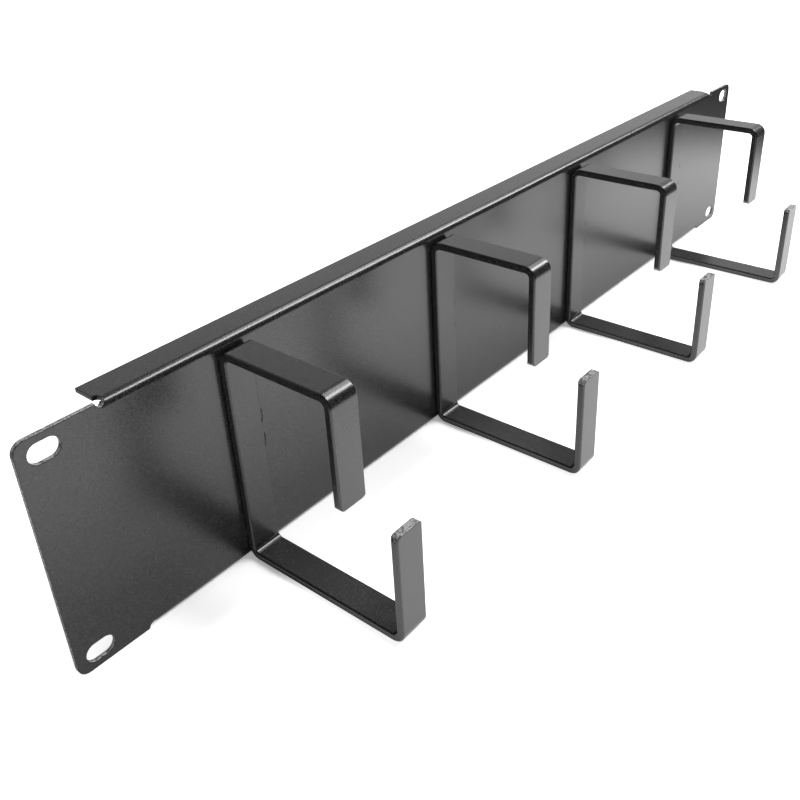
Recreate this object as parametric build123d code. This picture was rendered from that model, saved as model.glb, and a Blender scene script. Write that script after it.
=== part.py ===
from build123d import *
import os

# Cable management panel, two rack units high, for a 19-inch rack. One steel sheet is folded into a
# face with a flange along its top and bottom, and flat bars bent into open rings are welded to it.
# Millimetres. +X runs along the panel, +Y runs back into the rack and +Z is up. The origin is the
# middle of the four rack slots, on the rear face of the ears, which seats on the rack's rails.

# Folded panel
panel_width = 482.6
panel_height = 88.1
sheet_thickness = 1.5
flange_depth = 13.0
fold_inner_radius = 1.2
ear_length = 28.0
ear_corner_radius = 4.0
relief_diameter = 3.5

# Rack slots: their centres' distance from the panel's ends and from its long edges
slot_end_inset = 8.75
slot_edge_inset = 5.95
slot_length = 10.3
slot_width = 6.8

# Flat bar that the rings are bent from
bar_width = 12.0
bar_thickness = 3.0
bar_edge_chamfer = 0.45
bar_bend_radius = 1.8
bar_end_radius = 2.2

# Ring places and reach
ring_count = 4
ring_end_inset = 48.3
ring_top_margin = 2.6
upper_reach = 50.0
lower_reach = 73.0
upper_leg_length = 42.5
lower_leg_length = 44.5

# Places that follow from the sizes above
panel_front = -sheet_thickness
panel_top = panel_height / 2
panel_bottom = -panel_height / 2
channel_length = panel_width - 2 * ear_length
fold_outer_radius = fold_inner_radius + sheet_thickness
slot_x = panel_width / 2 - slot_end_inset
slot_z = panel_height / 2 - slot_edge_inset
first_ring_x = ring_end_inset - channel_length / 2
ring_pitch = -2 * first_ring_x / (ring_count - 1)
ring_top = panel_top - ring_top_margin
ring_bottom = panel_bottom
bend_centre_radius = bar_bend_radius + bar_thickness / 2


def folded_channel():
    """The face and its two rear flanges between the ears, as one bent section."""
    outer = Rectangle(flange_depth, panel_height, align=(Align.MIN, Align.CENTER))
    outer = fillet(outer.vertices().group_by(Axis.X)[0], fold_outer_radius)
    hollow_height = panel_height - 2 * sheet_thickness
    hollow = Rectangle(flange_depth, hollow_height, align=(Align.MIN, Align.CENTER))
    hollow = fillet(hollow.vertices().group_by(Axis.X)[0], fold_inner_radius)
    section = outer - Pos(sheet_thickness, 0) * hollow
    section = Plane.YZ * Pos(panel_front, 0) * section
    return extrude(section, channel_length / 2, both=True)


def ear(side):
    """The flat ear at one end of the face, with its two outer corners rounded."""
    plate = Rectangle(ear_length, panel_height)
    outer_corners = plate.vertices().group_by(Axis.X)[-1 if side > 0 else 0]
    plate = fillet(outer_corners, ear_corner_radius)
    centre_x = side * (panel_width - ear_length) / 2
    return extrude(Plane.XZ * Pos(centre_x, 0) * plate, sheet_thickness)


def make_panel():
    """The whole folded sheet: channel, ears, rack slots and a round relief at each fold's end."""
    channel = folded_channel()
    ears = ear(-1) + ear(1)
    slot = extrude(Plane.XZ * SlotOverall(slot_length, slot_width), sheet_thickness)
    front = Plane(origin=(0, panel_front, 0), x_dir=(1, 0, 0), z_dir=(0, 1, 0))
    face_relief = extrude(front * Circle(relief_diameter / 2), fold_outer_radius)
    flange_relief = Cylinder(relief_diameter / 2, 2 * sheet_thickness)
    flange_relief = Pos(0, panel_front + fold_outer_radius, 0) * flange_relief
    for side in (-1, 1):
        for level in (-1, 1):
            fold_end = Pos(side * channel_length / 2, 0, level * panel_height / 2)
            channel -= fold_end * (face_relief + flange_relief)
            ears -= fold_end * face_relief
            ears -= Pos(side * slot_x, 0, level * slot_z) * slot
    return channel + ears


def ring_centreline():
    """The bent bar's centreline, from the upper free end round to the lower free end."""
    half = bar_thickness / 2
    back_y = panel_front - half
    upper_y = panel_front - upper_reach + half
    lower_y = panel_front - lower_reach + half
    corners = [
        (upper_y, ring_top - upper_leg_length),
        (upper_y, ring_top - half),
        (back_y, ring_top - half),
        (back_y, ring_bottom + half),
        (lower_y, ring_bottom + half),
        (lower_y, ring_bottom + lower_leg_length),
    ]
    return Plane.YZ * FilletPolyline(*corners, radius=bend_centre_radius)


def end_waste():
    """The two corners trimmed from a free end whose tip points up and lies at the origin."""
    tip = Rectangle(bar_width, 2 * bar_end_radius, align=(Align.CENTER, Align.MAX))
    rounded = fillet(tip.vertices().group_by(Axis.Y)[-1], bar_end_radius)
    return extrude(Plane.XZ * (tip - rounded), bar_thickness, both=True)


def make_ring():
    """One open ring at the middle of the panel: flat bar bent round its centreline."""
    path = ring_centreline()
    start = Plane(origin=path @ 0, x_dir=(1, 0, 0), z_dir=path % 0)
    bar = Rectangle(bar_width, bar_thickness)
    bar = chamfer(bar.vertices(), bar_edge_chamfer)
    ring = sweep(start * bar, path)
    ring -= Pos(path @ 1) * end_waste()
    ring -= Pos(path @ 0) * Rot(180, 0, 0) * end_waste()
    return ring


os.makedirs("parts", exist_ok=True)
export_step(make_panel(), "parts/panel.step")
ring = make_ring()
for number in range(ring_count):
    ring_x = first_ring_x + number * ring_pitch
    export_step(Pos(ring_x, 0, 0) * ring, f"parts/cable_ring_{number + 1}.step")
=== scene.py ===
import math

import bpy
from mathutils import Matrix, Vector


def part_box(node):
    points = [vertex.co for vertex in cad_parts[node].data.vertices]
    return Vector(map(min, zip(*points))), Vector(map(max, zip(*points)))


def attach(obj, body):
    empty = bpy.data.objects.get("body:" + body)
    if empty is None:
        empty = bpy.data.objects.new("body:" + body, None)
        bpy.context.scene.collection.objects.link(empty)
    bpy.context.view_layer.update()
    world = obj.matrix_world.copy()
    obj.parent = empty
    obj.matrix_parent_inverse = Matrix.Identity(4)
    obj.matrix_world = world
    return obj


# Metres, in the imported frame: +X along the panel, +Y back into the rack, +Z up.
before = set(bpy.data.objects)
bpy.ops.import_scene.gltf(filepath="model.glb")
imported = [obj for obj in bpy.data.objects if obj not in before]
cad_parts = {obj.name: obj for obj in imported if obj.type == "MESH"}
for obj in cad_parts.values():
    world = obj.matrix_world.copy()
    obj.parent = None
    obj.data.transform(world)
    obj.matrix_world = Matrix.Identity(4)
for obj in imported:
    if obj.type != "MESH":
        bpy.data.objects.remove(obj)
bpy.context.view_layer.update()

panel_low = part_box("panel")[0]
floor_z = panel_low[2]
panel_front = panel_low[1]
ring_names = sorted(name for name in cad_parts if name.startswith("cable_ring"))


def new_material(name):
    """A material with a Principled shader, its node tree and that shader."""
    material = bpy.data.materials.new(name)
    material.use_nodes = True
    nodes = material.node_tree.nodes
    nodes.clear()
    output = nodes.new("ShaderNodeOutputMaterial")
    shader = nodes.new("ShaderNodeBsdfPrincipled")
    material.node_tree.links.new(shader.outputs["BSDF"], output.inputs["Surface"])
    return material, material.node_tree, shader


def node(tree, kind, **values):
    """A node with its properties set, and its inputs set by name."""
    made = tree.nodes.new(kind)
    for key, value in values.items():
        if hasattr(made, key):
            setattr(made, key, value)
        else:
            made.inputs[key.replace("_", " ")].default_value = value
    return made


def math_node(tree, operation, *values):
    """One sum, product or comparison of sockets or numbers."""
    made = node(tree, "ShaderNodeMath", operation=operation)
    for place, value in enumerate(values):
        if isinstance(value, (int, float)):
            made.inputs[place].default_value = value
        else:
            tree.links.new(value, made.inputs[place])
    return made.outputs["Value"]


def product(tree, *values):
    """The product of two or more sockets or numbers."""
    result = values[0]
    for value in values[1:]:
        result = math_node(tree, "MULTIPLY", result, value)
    return result


def ramp(tree, source, stops):
    """A colour ramp fed by one socket, from (place, grey) pairs."""
    made = tree.nodes.new("ShaderNodeValToRGB")
    elements = made.color_ramp.elements
    while len(elements) < len(stops):
        elements.new(0.5)
    for element, (place, grey) in zip(elements, stops):
        element.position = place
        element.color = (grey, grey, grey, 1)
    tree.links.new(source, made.inputs["Fac"])
    return made.outputs["Color"]


def mix_colours(tree, share, first, second):
    """A colour between the first, a socket or a grey, and the second, by a share from 0 to 1."""
    made = node(tree, "ShaderNodeMix", data_type="RGBA")
    tree.links.new(share, made.inputs["Factor"])
    if isinstance(first, float):
        made.inputs["A"].default_value = (first, first, first, 1)
    else:
        tree.links.new(first, made.inputs["A"])
    tree.links.new(second, made.inputs["B"])
    return made.outputs["Result"]


def noise(tree, place, scale, detail, roughness=0.55):
    """A noise texture's height at a place."""
    made = node(tree, "ShaderNodeTexNoise", Scale=scale, Detail=detail, Roughness=roughness)
    tree.links.new(place, made.inputs["Vector"])
    return made.outputs["Fac"]


def bump(tree, height, strength, distance, normal):
    """A bump from a height, on top of an earlier normal. Strength is a number or a socket."""
    made = node(tree, "ShaderNodeBump", Distance=distance)
    if isinstance(strength, float):
        made.inputs["Strength"].default_value = strength
    else:
        tree.links.new(strength, made.inputs["Strength"])
    tree.links.new(height, made.inputs["Height"])
    tree.links.new(normal, made.inputs["Normal"])
    return made.outputs["Normal"]


def axis_of(tree, vector, axis):
    """One axis of a vector."""
    parts = tree.nodes.new("ShaderNodeSeparateXYZ")
    tree.links.new(vector, parts.inputs["Vector"])
    return parts.outputs[axis]


def size_along(tree, vector, axis):
    """How far a vector reaches along one axis, to either side."""
    return math_node(tree, "ABSOLUTE", axis_of(tree, vector, axis))


def bare_normal(tree):
    """The way the mesh itself faces, before any bump."""
    return tree.nodes.new("ShaderNodeNewGeometry").outputs["True Normal"]


# Paint


def painted_steel(name, roughness, cut_mask, edge_mask=None):
    """Satin black powder coat with a fine grain. It stays rough and speckled where cut_mask finds a
    sheared face under it, in bare steel's own lighter grey with light specks that are painted
    glints, and rounds the edges, or only those that edge_mask finds."""
    grey, edge_radius = 0.015, 0.0006
    material, tree, shader = new_material(name)
    links = tree.links
    place = tree.nodes.new("ShaderNodeTexCoord").outputs["Object"]
    cut = cut_mask(tree, place)

    grain = noise(tree, place, 2600.0, 2.0, 0.6)
    specks = noise(tree, place, 1600.0, 2.0, 0.6)
    torn = noise(tree, place, 1000.0, 2.0, 0.6)
    pebbles = noise(tree, place, 850.0, 1.0, 0.5)
    clouds = noise(tree, place, 26.0, 3.0)

    fleck = ramp(tree, specks, [(0.32, 0.0), (0.68, grey * 2)])
    patch = ramp(tree, clouds, [(0.3, 0.85), (0.7, 1.15)])
    # Sheared faces: bare steel's own lighter grey, with light specks that are painted glints
    bare_steel_and_painted_glints = ramp(tree, torn, [(0.36, 0.05), (0.6, 0.42)])
    colour = mix_colours(tree, cut, product(tree, fleck, patch), bare_steel_and_painted_glints)
    gloss = ramp(tree, grain, [(0.3, roughness - 0.02), (0.7, roughness + 0.02)])
    links.new(colour, shader.inputs["Base Color"])
    links.new(gloss, shader.inputs["Roughness"])
    shader.inputs["IOR"].default_value = 1.5
    shader.inputs["Specular IOR Level"].default_value = 0.74

    rounding = node(tree, "ShaderNodeBevel", samples=6, Radius=edge_radius)
    if edge_mask:
        radius = product(tree, edge_mask(tree, place), edge_radius)
        links.new(radius, rounding.inputs["Radius"])
    fine = bump(tree, grain, 0.05, 0.00005, rounding.outputs["Normal"])
    coarse = bump(tree, pebbles, 0.03, 0.0001, fine)
    rough_cut = bump(tree, torn, cut, 0.0002, coarse)
    links.new(rough_cut, shader.inputs["Normal"])
    return material


def ring_ends(tree, place):
    """1 on the level cut faces at the rings' free ends, which are in front and near mid-height."""
    level = math_node(tree, "GREATER_THAN", size_along(tree, bare_normal(tree), "Z"), 0.3)
    near_middle = math_node(tree, "LESS_THAN", size_along(tree, place, "Z"), 0.004)
    in_front = math_node(tree, "LESS_THAN", axis_of(tree, place, "Y"), -0.03)
    return product(tree, level, near_middle, in_front)


def past_folds(tree, place):
    """1 on the ears and on the last of the flanges."""
    return math_node(tree, "GREATER_THAN", size_along(tree, place, "X"), 0.2115)


def sheared_edges(tree, place):
    """1 on the sheared edges of the ears and their slots, in front of the flanges' ends."""
    edgewise = math_node(tree, "LESS_THAN", size_along(tree, bare_normal(tree), "Y"), 0.5)
    in_front = math_node(tree, "LESS_THAN", axis_of(tree, place, "Y"), 0.0005)
    return product(tree, edgewise, past_folds(tree, place), in_front)


def dress(names, material):
    """Gives the named CAD nodes a material in place of the plain one they came with."""
    for name in names:
        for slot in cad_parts[name].material_slots:
            slot.material = material


panel_paint = painted_steel("panel_paint", 0.26, sheared_edges, past_folds)
ring_paint = painted_steel("ring_paint", 0.25, ring_ends)
dress(["panel"], panel_paint)
dress(ring_names, ring_paint)


# Weld tacks


def weld_bead(corner, length, leg):
    """One rippled bead of weld up the corner between a ring's right side and the face: a square bar
    turned on edge, drawn up in steps, with the quarter that shows kept."""
    widths = (0.45, 0.85, 1.0, 0.93, 1.04, 0.95, 1.04, 0.93, 1.0, 0.85, 0.45)
    rise = length / (len(widths) - 1)
    foot = (corner[0], corner[1], corner[2] - length / 2)
    bpy.ops.object.select_all(action="DESELECT")
    bpy.ops.mesh.primitive_circle_add(vertices=4, radius=leg * widths[0], fill_type="NGON",
                                      location=foot)
    bpy.ops.object.mode_set(mode="EDIT")
    for before, after in zip(widths, widths[1:]):
        growth = after / before
        bpy.ops.mesh.extrude_region_move(TRANSFORM_OT_translate={"value": (0, 0, rise)})
        bpy.ops.transform.resize(value=(growth, growth, 1), center_override=corner)
    for outward in ((1, 0, 0), (0, -1, 0)):
        bpy.ops.mesh.select_all(action="SELECT")
        bpy.ops.mesh.bisect(plane_co=corner, plane_no=outward, use_fill=True, clear_inner=True)
    bpy.ops.mesh.select_all(action="SELECT")
    bpy.ops.mesh.normals_make_consistent(inside=False)
    bpy.ops.object.mode_set(mode="OBJECT")
    bpy.ops.object.shade_smooth_by_angle(angle=math.radians(40))
    return bpy.context.object


# Each ring has two, one above the other. The first ring's are made and copied to the others.
bead_depth, bead_length, bead_leg, bead_spacing = 0.0005, 0.005, 0.0031, 0.010
ring_rights = [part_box(name)[1][0] for name in ring_names]
bead = weld_bead((ring_rights[0] - bead_depth, panel_front, 0.0), bead_length, bead_leg)
bead.data.materials.append(ring_paint)
bpy.ops.object.duplicate_move(TRANSFORM_OT_translate={"value": (0, 0, bead_spacing)})
bead.select_set(True)
bpy.ops.object.join()
ring_welds = [bpy.context.object]
for left, right in zip(ring_rights, ring_rights[1:]):
    bpy.ops.object.duplicate_move(TRANSFORM_OT_translate={"value": (right - left, 0, 0)})
    ring_welds.append(bpy.context.object)
for ring_name, tacks in zip(ring_names, ring_welds):
    tacks.name = ring_name.replace("cable_ring", "ring_weld")
    tacks.select_set(True)
    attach(tacks, "root")
bpy.ops.object.transform_apply(location=True, rotation=False, scale=False)


# Floor


def mirrored_only(tree, ray):
    """1 for a ray that a glossy or clear surface sends out, else 0."""
    return math_node(tree, "MAXIMUM", ray.outputs["Is Glossy Ray"],
                     ray.outputs["Is Transmission Ray"])


def lit_table():
    """White paper that glows to the camera, less so at the panel's foot, where the shadow stays.
    Mirrored in the paint, it glows to the front and right and fades away from the panel."""
    material, tree, shader = new_material("floor_paper")
    links = tree.links
    place = tree.nodes.new("ShaderNodeTexCoord").outputs["Object"]
    ray = tree.nodes.new("ShaderNodeLightPath")
    mirrored = mirrored_only(tree, ray)
    across, back = axis_of(tree, place, "X"), axis_of(tree, place, "Y")

    stretched = node(tree, "ShaderNodeVectorMath", operation="MULTIPLY")
    stretched.inputs[1].default_value = (1.0, 1.6, 1.0)
    links.new(place, stretched.inputs[0])
    distance = node(tree, "ShaderNodeVectorMath", operation="LENGTH")
    links.new(stretched.outputs["Vector"], distance.inputs[0])
    fade = ramp(tree, distance.outputs["Value"], [(0.36, 0.9), (0.48, 0.05)])
    links.new(mix_colours(tree, mirrored, 0.9, fade), shader.inputs["Base Color"])
    shader.inputs["Roughness"].default_value = 0.9
    shader.inputs["Specular IOR Level"].default_value = 0.0

    within_panel = ramp(tree, math_node(tree, "ABSOLUTE", across), [(0.20, 1.0), (0.24, 0.0)])
    near_face = ramp(tree, math_node(tree, "MULTIPLY_ADD", back, 8.0, 0.5),
                     [(0.24, 0.0), (0.38, 1.0), (0.50, 1.0), (0.60, 0.0)])
    foot = product(tree, within_panel, near_face)
    seen_glow = math_node(tree, "MULTIPLY_ADD", foot, -0.5, 0.8)
    rightward = math_node(tree, "MULTIPLY_ADD", across, 1.2, -0.05)
    mirrored_glow = math_node(tree, "MULTIPLY_ADD", back, -12.0, rightward)
    mirrored_glow.node.use_clamp = True
    glow = math_node(tree, "ADD", product(tree, seen_glow, ray.outputs["Is Camera Ray"]),
                     product(tree, mirrored_glow, fade, mirrored))
    shader.inputs["Emission Color"].default_value = (1, 1, 1, 1)
    links.new(glow, shader.inputs["Emission Strength"])
    return material


bpy.ops.mesh.primitive_plane_add(size=8, location=(0, 0, floor_z))
floor = bpy.context.object
floor.name = "floor"
floor.data.materials.append(lit_table())


# Lamps and room


def softbox(name, low, high, radiance):
    """A level lamp of even brightness over one rectangle of the studio's ceiling, from its low to
    its high corner in X and Y."""
    ceiling = 1.37
    lamp = bpy.data.lights.new(name, "AREA")
    lamp.shape = "RECTANGLE"
    lamp.size = high[0] - low[0]
    lamp.size_y = high[1] - low[1]
    lamp.energy = radiance * math.pi * lamp.size * lamp.size_y
    holder = bpy.data.objects.new(name, lamp)
    bpy.context.collection.objects.link(holder)
    holder.location = ((low[0] + high[0]) / 2, (low[1] + high[1]) / 2, ceiling)


def choose_by_ray(tree, is_kind, usual, chosen):
    """One background for rays of a kind, and the usual one for the rest."""
    made = tree.nodes.new("ShaderNodeMixShader")
    tree.links.new(is_kind, made.inputs["Fac"])
    tree.links.new(usual, made.inputs[1])
    tree.links.new(chosen, made.inputs[2])
    return made.outputs["Shader"]


def studio_room():
    """White as the camera sees it. The paint mirrors a pale backdrop behind the panel, darker with
    height, and a dark room in front of it. All else is lit by a plain dim grey."""
    world = bpy.data.worlds.new("studio")
    world.use_nodes = True
    room = world.node_tree
    room.nodes.clear()
    output = room.nodes.new("ShaderNodeOutputWorld")
    direction = room.nodes.new("ShaderNodeTexCoord").outputs["Generated"]
    ray = room.nodes.new("ShaderNodeLightPath")

    toward = node(room, "ShaderNodeVectorMath", operation="DOT_PRODUCT")
    toward.inputs[1].default_value = (0.5, 0.866, 0.0)
    room.links.new(direction, toward.inputs[0])
    facing_backdrop = math_node(room, "MULTIPLY_ADD", toward.outputs["Value"], 0.5, 0.5)
    backdrop = ramp(room, facing_backdrop, [(0.55, 0.03), (0.78, 1.0)])
    by_height = ramp(room, axis_of(room, direction, "Z"),
                     [(0.22, 1.0), (0.37, 0.78), (0.46, 0.58), (0.7, 0.3)])
    mirrored = node(room, "ShaderNodeBackground", Strength=1.0)
    room.links.new(product(room, backdrop, by_height), mirrored.inputs["Color"])

    seen = node(room, "ShaderNodeBackground", Color=(1, 1, 1, 1), Strength=1.0)
    lit = node(room, "ShaderNodeBackground", Color=(1, 1, 1, 1), Strength=0.25)
    unseen = choose_by_ray(room, mirrored_only(room, ray), lit.outputs["Background"],
                           mirrored.outputs["Background"])
    whole = choose_by_ray(room, ray.outputs["Is Camera Ray"], unseen, seen.outputs["Background"])
    room.links.new(whole, output.inputs["Surface"])
    return world


softbox("front_right_softbox", (0.3, -0.95), (2.4, -0.37), 13)
softbox("right_softbox", (0.6, -0.25), (1.6, 0.40), 4.5)
bpy.context.scene.world = studio_room()


# Camera, at the photograph's viewing angle
lens = bpy.data.cameras.new("camera")
lens.lens = 40.97
lens.sensor_width = 36
lens.shift_x = -0.0378
lens.shift_y = -0.0747
lens.clip_start = 0.01
camera = bpy.data.objects.new("camera", lens)
bpy.context.collection.objects.link(camera)
camera.location = (-0.32495, -0.21689, 0.18105)
camera.rotation_euler = (math.radians(61.480), math.radians(1.951), math.radians(-51.612))
bpy.context.scene.camera = camera

bpy.context.scene.view_settings.view_transform = "Standard"
